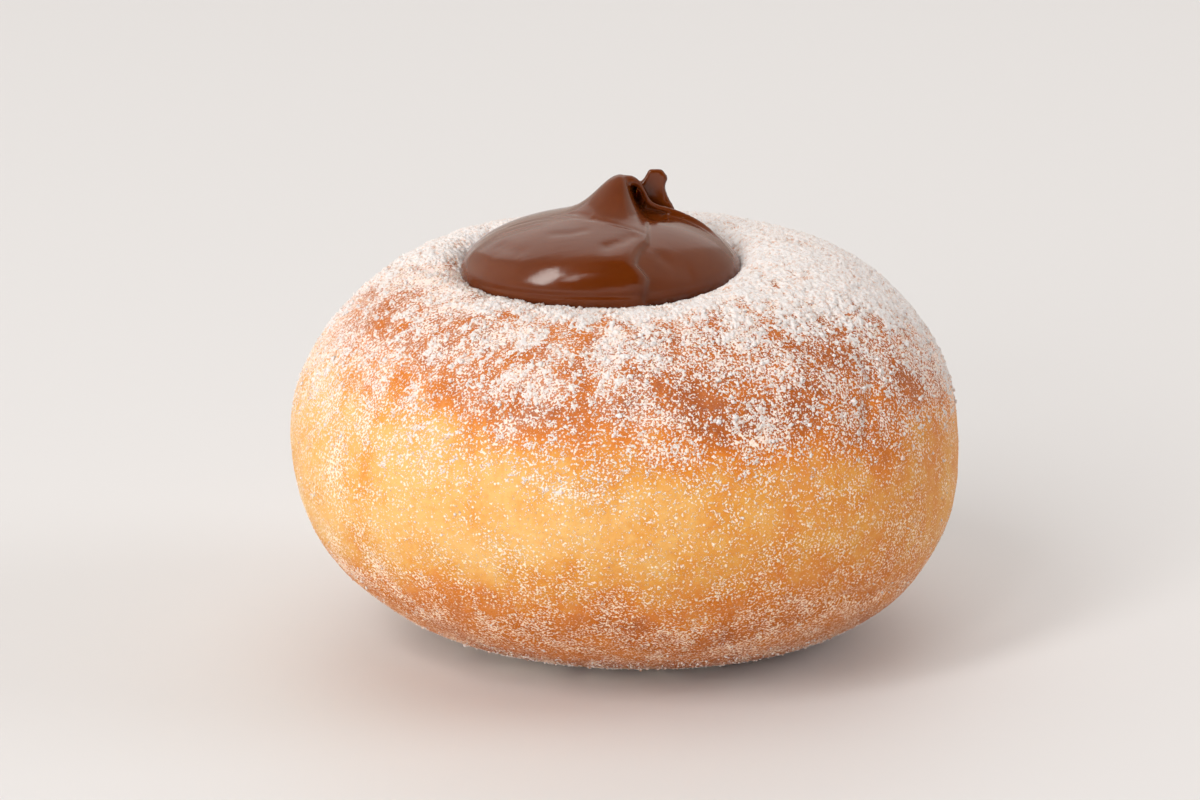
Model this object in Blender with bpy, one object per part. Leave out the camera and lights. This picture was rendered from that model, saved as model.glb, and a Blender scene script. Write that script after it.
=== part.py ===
"""A filled bombolone: a round fried bun with a dollop of cocoa cream standing in the dimple of its crown.

Metres, +Z up. The bun rests on z = 0 and the middle of its bounding box is on the Z axis.
+X is to the right of someone who looks at the bun from the front, and +Y points away from them.
An angle round the bun, a turn, is counted from +X towards +Y, so the front is at -90 degrees.
"""

import math

import bmesh
import bpy
import numpy as np
from mathutils import Vector, noise

MM = 0.001

# The bun's outline
HALF_WIDTH = 42.5 * MM
HALF_DEPTH = 41.3 * MM
EQUATOR_HEIGHT = 25.0 * MM
EQUATOR_DROP_RIGHT = 1.3 * MM  # the widest line is this much lower on the right, and higher on the left
CROWN_HEIGHT = 49.25 * MM  # the ring round the dimple, on average
CROWN_RISE_BACK = 1.7 * MM  # the crown leans towards the front
CROWN_RISE_RIGHT = 0.35 * MM
CROWN_RISE_SIDES = 0.25 * MM  # both sides stand a little above front and back
CROWN_RADIUS = 20.0 * MM
FOOT_RADIUS = 13.5 * MM  # the flat spot that the bun rests on
FOOT_SHIFT_RIGHT = 1.9 * MM
FULLNESS_BELOW = (1.92, 0.07, 0.20)  # superellipse exponent: mean, once round and twice round
FULLNESS_ABOVE = (2.00, 0.25, 0.00)

# The dimple that the cream sits in
DIMPLE_CENTRE = Vector((-2.8 * MM, -2.0 * MM, 0.0))
DIMPLE_FLOOR_HEIGHT = 46.7 * MM
DIMPLE_FLOOR_RADIUS = 15.0 * MM

# Relief of the crust
LUMP_HEIGHT = 0.40 * MM
LUMP_LENGTH = 13.0 * MM
SUGAR_BUMP_HEIGHT = 0.22 * MM  # the icing sugar lies in a bumpy bank round the cream
SUGAR_BUMP_LENGTH = 3.0 * MM
SUGAR_BANK_WIDTH = 11.0 * MM
RELIEF_STARTS_AT = 2.0 * MM  # below this height the crust is smooth, where it curves in to the foot
RELIEF_FULL_AT = 8.0 * MM

# Rings and sectors of the bun's mesh
SECTORS = 96
RINGS_BELOW = 15
RINGS_ABOVE = 18
RINGS_DIMPLE = 8

# The dollop of cream
GAP = 0.3 * MM  # between the two solids, which touch on the real thing
CREAM_CENTRE = Vector((-2.9 * MM, -2.0 * MM, 47.8 * MM))
CREAM_HALF_WIDTH = 17.6 * MM
CREAM_HALF_DEPTH = 16.2 * MM
CREAM_OUTLINE_WAVES = ((0.04, -142, 30), (-0.07, -50, 28))  # (share wider, turn and spread in degrees)
CREAM_DOME_HEIGHT = 7.7 * MM
CREAM_ROOT_DEPTH = 4.0 * MM  # how far the dome reaches down before the bun is cut out of it
PEAK_FOOT = Vector((-0.4 * MM, -1.2 * MM, 0.0))
PEAK_HEIGHT = 4.6 * MM
PEAK_SPREAD_LEFT = 2.9 * MM  # the peak rises in a slow sweep on its left and drops steeply on its right
PEAK_SPREAD_RIGHT = 1.05 * MM
PEAK_SPREAD_DEEP = 2.7 * MM

# The front of the dome is a lobe that ends at a fold on its right. The fold's line, as (y, x) from the top
FOLD_LINE = ((-18.6, 0.4), (-17.2, 2.3), (-16.0, 2.5), (-14.2, 1.2), (-11.5, 2.8), (-5.5, 2.8), (-1.5, 2.4))
FOLD_HEIGHT = 0.9 * MM  # at the rim, and less towards the top
FOLD_REACH = 5.0 * MM  # the lobe's swelling dies away over this distance to the left

# The tail that the peak's tip draws out, over to the right and down on to the dome, as (x, y, z, radius)
TAIL = (
    (-1.0, -1.2, 58.8, 0.95),
    (0.3, -1.1, 59.35, 0.80),
    (1.45, -0.9, 59.0, 0.50),
    (2.15, -0.7, 57.8, 0.45),
    (2.75, -0.3, 56.4, 0.45),
    (3.8, 0.0, 55.6, 0.50),
    (6.2, 0.3, 55.0, 0.55),
    (9.2, -0.2, 53.7, 0.55),
    (11.3, -2.0, 52.3, 0.50),
    (13.4, -4.2, 49.9, 0.40),
)
HOLLOW_CENTRE = Vector((3.8 * MM, -1.9 * MM, 0.0))  # a small pool of shade in front of the tail's foot
HOLLOW_DEPTH = 0.8 * MM
HOLLOW_SPREAD = 1.2 * MM

# The flap of cream that stands behind the tail: (height, left edge, right edge) from its foot to its top
FLAP_EDGES = (
    (53.4, -0.4, 6.6),
    (55.0, -0.2, 6.2),
    (56.5, 0.3, 5.3),
    (57.5, 1.0, 5.0),
    (58.2, 2.2, 5.3),
    (59.2, 2.6, 4.9),
    (59.8, 3.2, 4.3),
)
FLAP_BACK = Vector((3.5 * MM, 2.4 * MM, 0.0))  # the flap's furthest point from the front
FLAP_CURVE = 0.10 / MM  # how fast its two sides curve back towards the front
FLAP_THICKNESS = 0.9 * MM
FLAP_STEPS = 12

# The cream's mesh
DOME_SUBDIVISIONS = 6
VOXEL = 0.4 * MM
MELT_STEPS = 5
CREAM_TRIANGLES = 4400


def round_the_bun(terms, turn):
    """A value that changes smoothly round the bun, from its mean, once-round and twice-round parts."""
    mean, once, twice = terms
    return mean + once * math.cos(turn) + twice * math.cos(2 * turn)


def ease(share):
    """A smooth step from 0 to 1 as share goes from 0 to 1."""
    share = min(max(share, 0.0), 1.0)
    return share * share * (3 - 2 * share)


def quarter_curve(share, fullness):
    """A quarter of a superellipse, as (across, up): from (1, 0) at share 0 to (0, 1) at share 1."""
    angle = share * math.pi / 2
    across = max(math.cos(angle), 0.0) ** (2 / fullness)
    up = math.sin(angle) ** (2 / fullness)
    return across, up


def equator(turn):
    """Radius and height of the bun's widest line."""
    radius = math.hypot(HALF_WIDTH * math.cos(turn), HALF_DEPTH * math.sin(turn))
    return radius, EQUATOR_HEIGHT - EQUATOR_DROP_RIGHT * math.cos(turn)


def crown_height(turn):
    leaning = CROWN_RISE_BACK * math.sin(turn) + CROWN_RISE_RIGHT * math.cos(turn)
    return CROWN_HEIGHT + leaning + CROWN_RISE_SIDES * math.cos(2 * turn)


def ring_point(radius, turn, height, centre):
    return Vector((centre.x + radius * math.cos(turn), centre.y + radius * math.sin(turn), height))


def point_below(share, turn):
    """A point of the lower half, from the equator at share 0 to the rim of the foot at share 1."""
    wide, level = equator(turn)
    across, up = quarter_curve(share, round_the_bun(FULLNESS_BELOW, turn))
    centre = Vector((FOOT_SHIFT_RIGHT, 0.0, 0.0)) * (1 - across)
    return ring_point(FOOT_RADIUS + (wide - FOOT_RADIUS) * across, turn, level * (1 - up), centre)


def point_above(share, turn):
    """A point of the upper half, from the equator at share 0 to the crown at share 1."""
    wide, level = equator(turn)
    across, up = quarter_curve(share, round_the_bun(FULLNESS_ABOVE, turn))
    height = level + (crown_height(turn) - level) * up
    centre = DIMPLE_CENTRE * (1 - across)
    return ring_point(CROWN_RADIUS + (wide - CROWN_RADIUS) * across, turn, height, centre)


def point_in_dimple(share, turn):
    """A point of the dimple, from the crown at share 0 to the dimple's middle at share 1."""
    radius = CROWN_RADIUS * (1 - share)
    fallen = ease((CROWN_RADIUS - radius) / (CROWN_RADIUS - DIMPLE_FLOOR_RADIUS))
    height = crown_height(turn) + (DIMPLE_FLOOR_HEIGHT - crown_height(turn)) * fallen
    return ring_point(radius, turn, height, DIMPLE_CENTRE)


def relief(point):
    """How far the crust stands out at a point: slow lumps all over, and bumps in the bank of sugar."""
    lumps = LUMP_HEIGHT * noise.noise(point / LUMP_LENGTH)
    from_crown = (point - DIMPLE_CENTRE).to_2d().length - CROWN_RADIUS
    bank = math.exp(-((from_crown / SUGAR_BANK_WIDTH) ** 2)) if point.z > EQUATOR_HEIGHT else 0.0
    bumps = bank * SUGAR_BUMP_HEIGHT * noise.noise(point / SUGAR_BUMP_LENGTH)
    return (lumps + bumps) * ease((point.z - RELIEF_STARTS_AT) / (RELIEF_FULL_AT - RELIEF_STARTS_AT))


def bun_rings():
    """The bun's rings of points, from the rim of the foot up over the crown and into the dimple."""
    turns = [2 * math.pi * i / SECTORS for i in range(SECTORS)]
    below = [[point_below(1 - i / RINGS_BELOW, t) for t in turns] for i in range(RINGS_BELOW)]
    above = [[point_above(i / RINGS_ABOVE, t) for t in turns] for i in range(RINGS_ABOVE)]
    dimple = [[point_in_dimple(i / RINGS_DIMPLE, t) for t in turns] for i in range(RINGS_DIMPLE)]
    return below + above + dimple


def skin_rings(name, rings, last_point):
    """A closed mesh over a stack of rings: a flat n-gon under the first and a fan over the last."""
    bm = bmesh.new()
    loops = [[bm.verts.new(p) for p in ring] for ring in rings]
    count = len(rings[0])
    bm.faces.new(reversed(loops[0]))
    for low, high in zip(loops, loops[1:]):
        for i in range(count):
            j = (i + 1) % count
            bm.faces.new((low[i], low[j], high[j], high[i]))
    top = bm.verts.new(last_point)
    for i in range(count):
        bm.faces.new((loops[-1][i], loops[-1][(i + 1) % count], top))
    mesh = bpy.data.meshes.new(name)
    bm.to_mesh(mesh)
    bm.free()
    return mesh


def press_out(mesh, amount):
    """Moves each vertex along its normal by amount(its place)."""
    mesh.update()
    moved = [v.co + v.normal * amount(v.co) for v in mesh.vertices]
    for vertex, place in zip(mesh.vertices, moved):
        vertex.co = place


def centre_outline(mesh):
    """Moves a mesh sideways so that the middle of its bounding box is on the Z axis."""
    xs = [v.co.x for v in mesh.vertices]
    ys = [v.co.y for v in mesh.vertices]
    middle = Vector(((min(xs) + max(xs)) / 2, (min(ys) + max(ys)) / 2, 0.0))
    for vertex in mesh.vertices:
        vertex.co -= middle


def make_material(name, colour, roughness):
    material = bpy.data.materials.new(name)
    material.use_nodes = True
    shader = material.node_tree.nodes["Principled BSDF"]
    shader.inputs["Base Color"].default_value = (*colour, 1.0)
    shader.inputs["Roughness"].default_value = roughness
    return material


def add_object(name, data, material=None):
    if material:
        data.materials.append(material)
    made = bpy.data.objects.new(name, data)
    bpy.context.scene.collection.objects.link(made)
    return made


def add_modifier(item, kind, **settings):
    modifier = item.modifiers.new(kind.lower(), kind)
    for name, value in settings.items():
        setattr(modifier, name, value)


def evaluated_mesh(item):
    """The object's mesh with its modifiers applied, as new data. The object itself is removed."""
    graph = bpy.context.evaluated_depsgraph_get()
    mesh = bpy.data.meshes.new_from_object(item.evaluated_get(graph))
    bpy.data.objects.remove(item)
    return mesh


def make_bun():
    mesh = skin_rings("dough_bun", bun_rings(), point_in_dimple(1.0, 0.0))
    press_out(mesh, relief)
    centre_outline(mesh)
    mesh.shade_smooth()
    return add_object("dough_bun", mesh, make_material("fried_dough", (0.72, 0.36, 0.12), 0.6))


def peak_lift(place):
    """How far the dome is drawn up at a place, into the soft peak, or down into the hollow beside it."""
    across, deep = (place - PEAK_FOOT).xy
    spread = PEAK_SPREAD_LEFT if across < 0 else PEAK_SPREAD_RIGHT
    peak = PEAK_HEIGHT * math.exp(-0.5 * ((across / spread) ** 2 + (deep / PEAK_SPREAD_DEEP) ** 2))
    off = (place - HOLLOW_CENTRE).xy.length / HOLLOW_SPREAD
    return peak - HOLLOW_DEPTH * math.exp(-0.5 * off * off)


def fold_swell(place):
    """How far the front lobe swells out at a place: most at the fold's line, and nothing to its right."""
    ys, xs = zip(*FOLD_LINE)
    to_fold = np.interp(place.y / MM, ys, xs) * MM - place.x
    if to_fold < 0:
        return 0.0
    return FOLD_HEIGHT * math.exp(-to_fold / FOLD_REACH) * ease((PEAK_FOOT.y - place.y) / CREAM_HALF_DEPTH)


def outline_share(direction):
    """How wide the dome's outline is in a direction, as a share of its ellipse: fuller left of the front."""
    turn = math.degrees(math.atan2(direction.y, direction.x))
    return 1 + sum(more * math.exp(-(((turn - at) / spread) ** 2)) for more, at, spread in CREAM_OUTLINE_WAVES)


def dome_mesh():
    """The dollop's body: a flattened dome with its front lobe and its peak."""
    bm = bmesh.new()
    bmesh.ops.create_icosphere(bm, subdivisions=DOME_SUBDIVISIONS, radius=1.0)
    for vertex in bm.verts:
        way = vertex.co.copy()
        tall = CREAM_DOME_HEIGHT if way.z > 0 else CREAM_ROOT_DEPTH
        wide = outline_share(way)
        vertex.co = CREAM_CENTRE + way * Vector((CREAM_HALF_WIDTH * wide, CREAM_HALF_DEPTH * wide, tall))
        vertex.co += way * fold_swell(vertex.co)
        if way.z > 0:
            vertex.co.z += peak_lift(vertex.co)
    mesh = bpy.data.meshes.new("dome")
    bm.to_mesh(mesh)
    bm.free()
    return mesh


def tail_mesh():
    """The drawn-out tail, as a tube that gets thinner along a smooth curve."""
    curve = bpy.data.curves.new("tail", "CURVE")
    curve.dimensions = "3D"
    curve.bevel_depth = MM
    curve.bevel_resolution = 3
    curve.use_fill_caps = True
    spline = curve.splines.new("NURBS")
    spline.points.add(len(TAIL) - 1)
    for point, (x, y, z, radius) in zip(spline.points, TAIL):
        point.co = (x * MM, y * MM, z * MM, 1.0)
        point.radius = radius
    spline.order_u = 3
    spline.use_endpoint_u = True
    return evaluated_mesh(add_object("tail", curve))


def flap_mesh():
    """The standing flap: a hollowed sheet, wide at its foot and round at its top, with a real thickness."""
    heights, lefts, rights = (np.array(values) * MM for values in zip(*FLAP_EDGES))
    bm = bmesh.new()
    rows = []
    for height in np.linspace(heights[0], heights[-1], FLAP_STEPS + 1):
        left = np.interp(height, heights, lefts)
        right = np.interp(height, heights, rights)
        across = np.linspace(left, right, FLAP_STEPS + 1)
        away = FLAP_BACK.y - FLAP_CURVE * (across - FLAP_BACK.x) ** 2
        rows.append([bm.verts.new((x, y, height)) for x, y in zip(across, away)])
    for low, high in zip(rows, rows[1:]):
        for j in range(FLAP_STEPS):
            bm.faces.new((low[j], low[j + 1], high[j + 1], high[j]))
    mesh = bpy.data.meshes.new("flap")
    bm.to_mesh(mesh)
    bm.free()
    sheet = add_object("flap", mesh)
    add_modifier(sheet, "SOLIDIFY", thickness=FLAP_THICKNESS, offset=0.0)
    return evaluated_mesh(sheet)


def joined(meshes):
    bm = bmesh.new()
    for mesh in meshes:
        bm.from_mesh(mesh)
    whole = bpy.data.meshes.new("cocoa_cream")
    bm.to_mesh(whole)
    bm.free()
    return whole


def make_seat_cutter(bun):
    """The bun's own shape, thicker all over by the gap. It cuts the cream's underside."""
    mesh = bun.data.copy()
    press_out(mesh, lambda place: GAP)
    cutter = add_object("seat_cutter", mesh)
    cutter.hide_render = True
    cutter.display_type = "WIRE"
    return cutter


def make_cream(bun):
    seat_cutter = make_seat_cutter(bun)
    melted = add_object("cream_melted", joined((dome_mesh(), tail_mesh(), flap_mesh())))
    add_modifier(melted, "REMESH", mode="VOXEL", voxel_size=VOXEL)
    add_modifier(melted, "SMOOTH", iterations=MELT_STEPS)
    add_modifier(melted, "BOOLEAN", operation="DIFFERENCE", object=seat_cutter)
    mesh = evaluated_mesh(melted)
    bpy.data.objects.remove(seat_cutter)
    mesh.materials.clear()
    mesh.shade_smooth()
    mesh.calc_loop_triangles()
    cream = add_object("cocoa_cream", mesh, make_material("cocoa_cream", (0.12, 0.045, 0.02), 0.2))
    add_modifier(cream, "DECIMATE", ratio=CREAM_TRIANGLES / len(mesh.loop_triangles))
    return cream


def clear_scene():
    for item in list(bpy.data.objects):
        bpy.data.objects.remove(item)


def main():
    clear_scene()
    bun = make_bun()
    make_cream(bun)


main()
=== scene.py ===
# %% [markdown]
# # A filled bombolone
#
# A bombolone is a round bun of sweet yeast dough. It floats in the hot oil, so it is fried on one side,
# turned over and fried on the other, and the belt that stays above the oil both times stays pale. Then
# it is dusted with icing sugar and filled from above, and the last of the cream is drawn up to a peak.
#
# The solids of the bun and the cream are already made. This lesson dresses them: a crust with its
# colours, a smooth glossy cream, and sugar that lies as a bank, as patches, as clumps and as dust.
# Everything is in metres, +Z is up, and the front of the bun looks along -Y.

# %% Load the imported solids
import math
from functools import partial

import bmesh
import bpy
import numpy as np
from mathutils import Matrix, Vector, noise
from mathutils.kdtree import KDTree


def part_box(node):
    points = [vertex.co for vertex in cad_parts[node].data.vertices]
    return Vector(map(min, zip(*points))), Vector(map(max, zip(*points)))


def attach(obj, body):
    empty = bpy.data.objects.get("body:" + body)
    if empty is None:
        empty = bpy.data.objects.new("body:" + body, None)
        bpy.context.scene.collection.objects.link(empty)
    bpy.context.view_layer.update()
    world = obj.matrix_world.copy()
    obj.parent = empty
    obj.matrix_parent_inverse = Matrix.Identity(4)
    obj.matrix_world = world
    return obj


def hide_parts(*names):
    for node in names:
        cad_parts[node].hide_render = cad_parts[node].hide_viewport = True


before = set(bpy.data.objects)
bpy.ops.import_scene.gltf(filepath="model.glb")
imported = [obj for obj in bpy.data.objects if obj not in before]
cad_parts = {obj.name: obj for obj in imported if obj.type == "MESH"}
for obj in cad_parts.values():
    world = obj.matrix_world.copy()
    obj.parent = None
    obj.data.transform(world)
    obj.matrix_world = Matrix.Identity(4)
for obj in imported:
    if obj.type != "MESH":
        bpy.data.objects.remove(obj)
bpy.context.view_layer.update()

MM = 0.001


def in_mm(places):
    return np.round(np.array(places) / MM, 2).tolist()


# %% [markdown]
# ## The camera
#
# The photograph was taken with a long lens from a little above the bun. A long lens flattens depth, and
# from 15 degrees up it shows the whole side of the bun and a narrow slice of its top. A camera can be
# turned with an aim constraint, but a rotation that is set once leaves nothing behind to evaluate.

# %% Set up the camera
CAMERA_DISTANCE = 520 * MM
CAMERA_RISE = math.radians(15)
CAMERA_TARGET = Vector((-3.15 * MM, 0.0, 30.5 * MM))
LENS = 122.6  # mm
SENSOR_WIDTH = 36.0  # mm

scene = bpy.context.scene


def place_object(name, data, location=(0, 0, 0), aim=None):
    """Puts data into the scene as an object. With aim, the object's -Z axis points at that place."""
    made = bpy.data.objects.new(name, data)
    made.location = location
    if aim is not None:
        made.rotation_euler = (Vector(aim) - made.location).to_track_quat("-Z", "Y").to_euler()
    scene.collection.objects.link(made)
    return made


camera_data = bpy.data.cameras.new("photo_camera")
camera_data.lens = LENS
camera_data.sensor_width = SENSOR_WIDTH
camera_data.clip_start = 10 * MM
backward = Vector((0.0, -math.cos(CAMERA_RISE), math.sin(CAMERA_RISE)))
scene.camera = place_object(
    "photo_camera", camera_data, CAMERA_TARGET + CAMERA_DISTANCE * backward, CAMERA_TARGET
)
print("camera at", [round(x, 3) for x in scene.camera.location])

# %% [markdown]
# ## Nodes and colours
#
# A procedural material is a small tree of nodes. Each is added the same way here: its kind, what goes
# into its sockets, and its own settings. A value that is a node, or a node's output, becomes a link, and
# one that is text is a colour. Sockets 1 to 4 of a Map Range are the range that goes in and the one that
# comes out, and 6 and 7 of a Mix are its two colours.
#
# Colours are written as the hex values that a paint program shows. Those are sRGB, and the renderer
# counts in linear light, so one function turns one into the other.

# %% Helpers for nodes and colours
def add_node(tree, kind, sockets=None, **settings):
    """Adds a shader node, and sets or links its input sockets, which are given by name or number."""
    node = tree.nodes.new("ShaderNode" + kind)
    for name, value in settings.items():
        setattr(node, name, value)
    for name, value in (sockets or {}).items():
        if isinstance(value, str):
            value = linear(value)
        if isinstance(value, bpy.types.Node):
            value = next(output for output in value.outputs if output.enabled)
        if isinstance(value, bpy.types.NodeSocket):
            tree.links.new(value, node.inputs[name])
        else:
            node.inputs[name].default_value = value
    return node


def linear(hex_colour):
    """An sRGB colour such as F2C078 as linear red, green, blue and alpha."""
    shares = [int(hex_colour[i : i + 2], 16) / 255 for i in (0, 2, 4)]
    return tuple(s / 12.92 if s <= 0.04045 else ((s + 0.055) / 1.055) ** 2.4 for s in shares) + (1.0,)


def empty_tree(owner):
    """Empties the nodes of a material or world, and gives back the function that adds nodes there."""
    owner.use_nodes = True
    owner.node_tree.nodes.clear()
    return partial(add_node, owner.node_tree)


print("sRGB 808080 is", round(linear("808080")[0], 3), "in linear light")

# %% [markdown]
# ## Light and floor
#
# Daylight comes in from the left. Matt dough hardly shows what is round it, but the glossy cream mirrors
# everything: the pale room in its top, the dark side of the room in its steep front, and the source of
# the light as one bright patch. A picture of a room would do for that. A few soft bands in the world's
# nodes need no file, and lamps add what they lack. The large lamps that only fill the shadows are hidden
# from reflections, as the real room has none.

# %% Floor, world and lamps
PAPER = "D8D9DC"
FLOOR_SIZE = 6.0

scene.view_settings.view_transform = "Standard"  # keeps the whites of a bright photograph

floor_mesh = bpy.data.meshes.new("floor")
half = FLOOR_SIZE / 2
corners = [(-half, -half, 0), (half, -half, 0), (half, half, 0), (-half, half, 0)]
floor_mesh.from_pydata(corners, [], [(0, 1, 2, 3)])
paper = bpy.data.materials.new("matt_paper")
add = empty_tree(paper)
shader = add("BsdfPrincipled", {"Base Color": PAPER, "Roughness": 0.6})
add("OutputMaterial", {"Surface": shader})
floor_mesh.materials.append(paper)
floor = place_object("floor", floor_mesh)

ROOM_COLOUR = "FFF4E8"
WALL_LIGHT = 0.76
ROOM_LIGHT = 0.42
LEFT_LIGHT = 0.35  # more of it on the side of the window
CEILING_SHARE = 0.62  # the ceiling's light, as a share of the wall's below it
DARK_MIDDLE = (9, 32)  # azimuth and elevation in degrees
DARK_REACH = (32, 44)  # degrees from its middle: dark up to the first, and gone at the second


def direction_of(azimuth, elevation):
    """The unit vector towards a light. Azimuth 0 is in front of the bun and -90 is on its left."""
    across, up = math.radians(azimuth), math.radians(elevation)
    return Vector((math.sin(across) * math.cos(up), -math.cos(across) * math.cos(up), math.sin(up)))


world = bpy.data.worlds.new("studio")
scene.world = world
add = empty_tree(world)
towards = add("TexCoord").outputs["Generated"]
axes = add("SeparateXYZ", {0: towards}).outputs
middle = direction_of(*DARK_MIDDLE)
from_middle = add("VectorMath", {0: towards, 1: middle}, operation="DOT_PRODUCT")
dark_to, gone_at = (math.cos(math.radians(reach)) for reach in DARK_REACH)
BANDS = (
    # what is read, its value where the band starts and ends, and the light, or the share of it, there
    (axes["Y"], -0.5, 0.1, ROOM_LIGHT, WALL_LIGHT),
    (axes["X"], -0.55, -0.95, 0.0, LEFT_LIGHT),
    (axes["Z"], 0.72, 0.97, 1.0, CEILING_SHARE),
    (from_middle, gone_at, dark_to, 1.0, 0.0),
)
walls, window_side, ceiling, undarkened = (
    add("MapRange", dict(enumerate(band)), interpolation_type="SMOOTHSTEP") for band in BANDS
)
strength = add("Math", {0: walls, 1: window_side}, operation="ADD")
for share in (ceiling, undarkened):
    strength = add("Math", {0: strength, 1: share}, operation="MULTIPLY")
glow = add("Background", {"Color": ROOM_COLOUR, "Strength": strength})
add("OutputWorld", {"Surface": glow})

LAMP_DISTANCE = 3.0
LAMP_AIM = (0, 0, 30 * MM)
LAMPS = (
    # name, azimuth and elevation in degrees, width and height in m, watts, colour, shows in reflections
    ("window", (-44, 38), 0.56, 1.90, 39, "FFFBF6", True),
    ("window_pane", (-22, 40), 0.32, 1.10, 7, "FFFBF6", True),
    ("key_softbox", (-24, 12), 1.75, 1.15, 47, "FFFBF6", False),
    ("side_fill", (90, 25), 1.40, 1.40, 21, "FFFFFF", False),
    ("wall_softbox", (180, 40), 3.20, 2.00, 12, "FFFFFF", True),
    ("ceiling_softbox", (0, 88), 2.50, 2.50, 16, "FFFFFF", False),
)
for name, direction, width, tall, watts, colour, shows in LAMPS:
    lamp = bpy.data.lights.new(name, "AREA")
    lamp.shape = "RECTANGLE"
    lamp.size, lamp.size_y = width, tall
    lamp.energy = watts
    lamp.color = linear(colour)[:3]
    placed = place_object(name, lamp, direction_of(*direction) * LAMP_DISTANCE, LAMP_AIM)
    placed.visible_glossy = shows
print(len(LAMPS), "lamps and a floor of", FLOOR_SIZE, "m")

# %% [markdown]
# ## The shape of the bun
#
# The crust repeats the solid's own shape with many more points, so that lumps, folds and pores have
# something to move. A subdivided copy of the solid would do too. Repeating the few curves that made it
# is as short, and any strip of the crust can then be made again, as fine as the sugar on it needs.
#
# A place on the bun is a turn round it and a climb up it: 0 is the rim of the foot, 1 the widest line,
# 2 the ring of the crown and 3 the middle of the dimple.

# %% Curves of the bun
HALF_WIDTH = 42.5 * MM
HALF_DEPTH = 41.3 * MM
EQUATOR_HEIGHT = 25.0 * MM
EQUATOR_DROP_RIGHT = 1.3 * MM
CROWN_HEIGHT = 49.25 * MM
CROWN_RISE_BACK = 1.7 * MM
CROWN_RISE_RIGHT = 0.35 * MM
CROWN_RISE_SIDES = 0.25 * MM
CROWN_RADIUS = 20.0 * MM
FOOT_RADIUS = 13.5 * MM
FOOT_SHIFT_RIGHT = 1.9 * MM
FULLNESS_BELOW = (1.92, 0.07, 0.20)
FULLNESS_ABOVE = (2.00, 0.25, 0.00)
DIMPLE_CENTRE = np.array((-2.8, -2.0, 0.0)) * MM
DIMPLE_FLOOR_HEIGHT = 46.7 * MM
DIMPLE_FLOOR_RADIUS = 15.0 * MM


def round_the_bun(terms, turn):
    """A value that changes smoothly round the bun, from its mean, once-round and twice-round parts."""
    mean, once, twice = terms
    return mean + once * np.cos(turn) + twice * np.cos(2 * turn)


def ease(share):
    """A smooth step from 0 to 1 as share goes from 0 to 1."""
    share = np.clip(share, 0.0, 1.0)
    return share * share * (3 - 2 * share)


def quarter_curve(share, fullness):
    """A quarter of a superellipse, as (across, up): from (1, 0) at share 0 to (0, 1) at share 1."""
    angle = share * np.pi / 2
    return np.maximum(np.cos(angle), 0.0) ** (2 / fullness), np.sin(angle) ** (2 / fullness)


def crown_height(turn):
    leaning = CROWN_RISE_BACK * np.sin(turn) + CROWN_RISE_RIGHT * np.cos(turn)
    return CROWN_HEIGHT + leaning + CROWN_RISE_SIDES * np.cos(2 * turn)


def ring(climb, turn):
    """The bun's smooth outline at one climb, for an array of turns, as places of shape (turns, 3)."""
    wide = np.hypot(HALF_WIDTH * np.cos(turn), HALF_DEPTH * np.sin(turn))
    level = EQUATOR_HEIGHT - EQUATOR_DROP_RIGHT * np.cos(turn)
    if climb < 1:
        across, up = quarter_curve(1 - climb, round_the_bun(FULLNESS_BELOW, turn))
        radius = FOOT_RADIUS + (wide - FOOT_RADIUS) * across
        height = level * (1 - up)
        centre = np.outer(1 - across, (FOOT_SHIFT_RIGHT, 0.0, 0.0))
    elif climb < 2:
        across, up = quarter_curve(climb - 1, round_the_bun(FULLNESS_ABOVE, turn))
        radius = CROWN_RADIUS + (wide - CROWN_RADIUS) * across
        height = level + (crown_height(turn) - level) * up
        centre = np.outer(1 - across, DIMPLE_CENTRE)
    else:
        radius = CROWN_RADIUS * (3 - climb) * np.ones_like(turn)
        fallen = ease((CROWN_RADIUS - radius) / (CROWN_RADIUS - DIMPLE_FLOOR_RADIUS))
        height = crown_height(turn) + (DIMPLE_FLOOR_HEIGHT - crown_height(turn)) * fallen
        centre = DIMPLE_CENTRE
    return np.stack((radius * np.cos(turn), radius * np.sin(turn), height), axis=1) + centre


def normals_of(rows):
    """Outward normals of a grid of places, whose columns go round and whose rows go up."""
    east = np.roll(rows, -1, axis=1) - np.roll(rows, 1, axis=1)
    north = np.gradient(rows, axis=0)
    normal = np.cross(east, north)
    return normal / np.linalg.norm(normal, axis=2, keepdims=True)


print("crown in front at", round(crown_height(-np.pi / 2) / MM, 2), "mm")
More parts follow.
